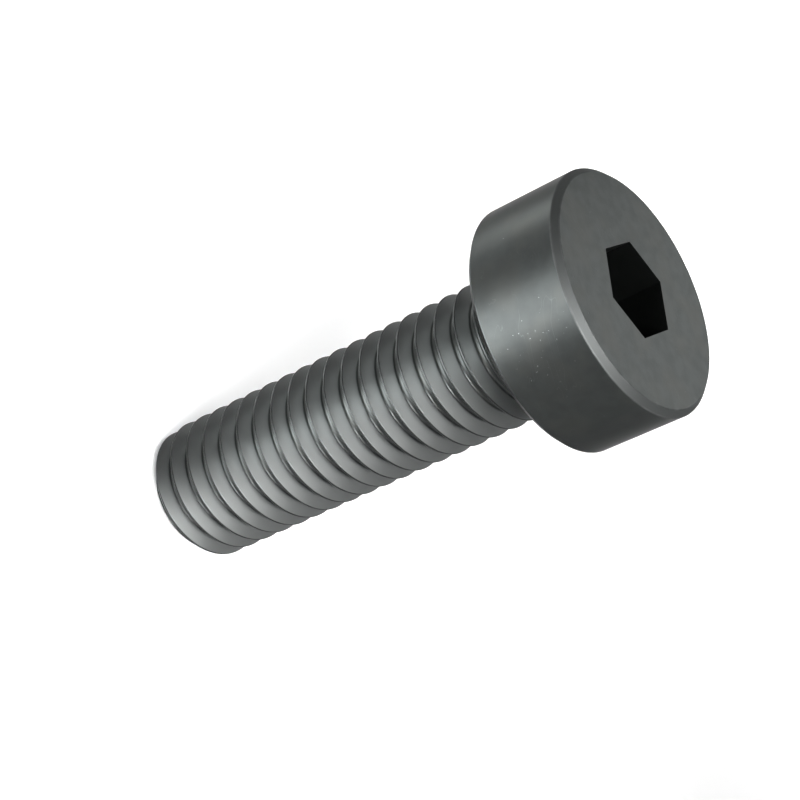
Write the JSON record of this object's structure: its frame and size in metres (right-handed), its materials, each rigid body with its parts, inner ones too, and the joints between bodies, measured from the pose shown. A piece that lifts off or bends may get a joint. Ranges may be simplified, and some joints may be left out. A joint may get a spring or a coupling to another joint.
{
  "type": "low head socket cap screw",
  "caption": "Machine screw with a low cylindrical head, a hexagon socket and a right-hand thread that runs to near the head.",
  "frame": {"origin": "centre of the flat end of the screw's point, on the surface that it stands on", "axes": "+Z along the screw from the point to the head; a corner of the hexagon socket lies towards +X"},
  "size_m": [0.0085, 0.0084, 0.0195],
  "materials": {
    "black_steel": "black oxide, satin"
  },
  "bodies": {
    "root": {"screw": "black_steel"}
  },
  "joints": []
}
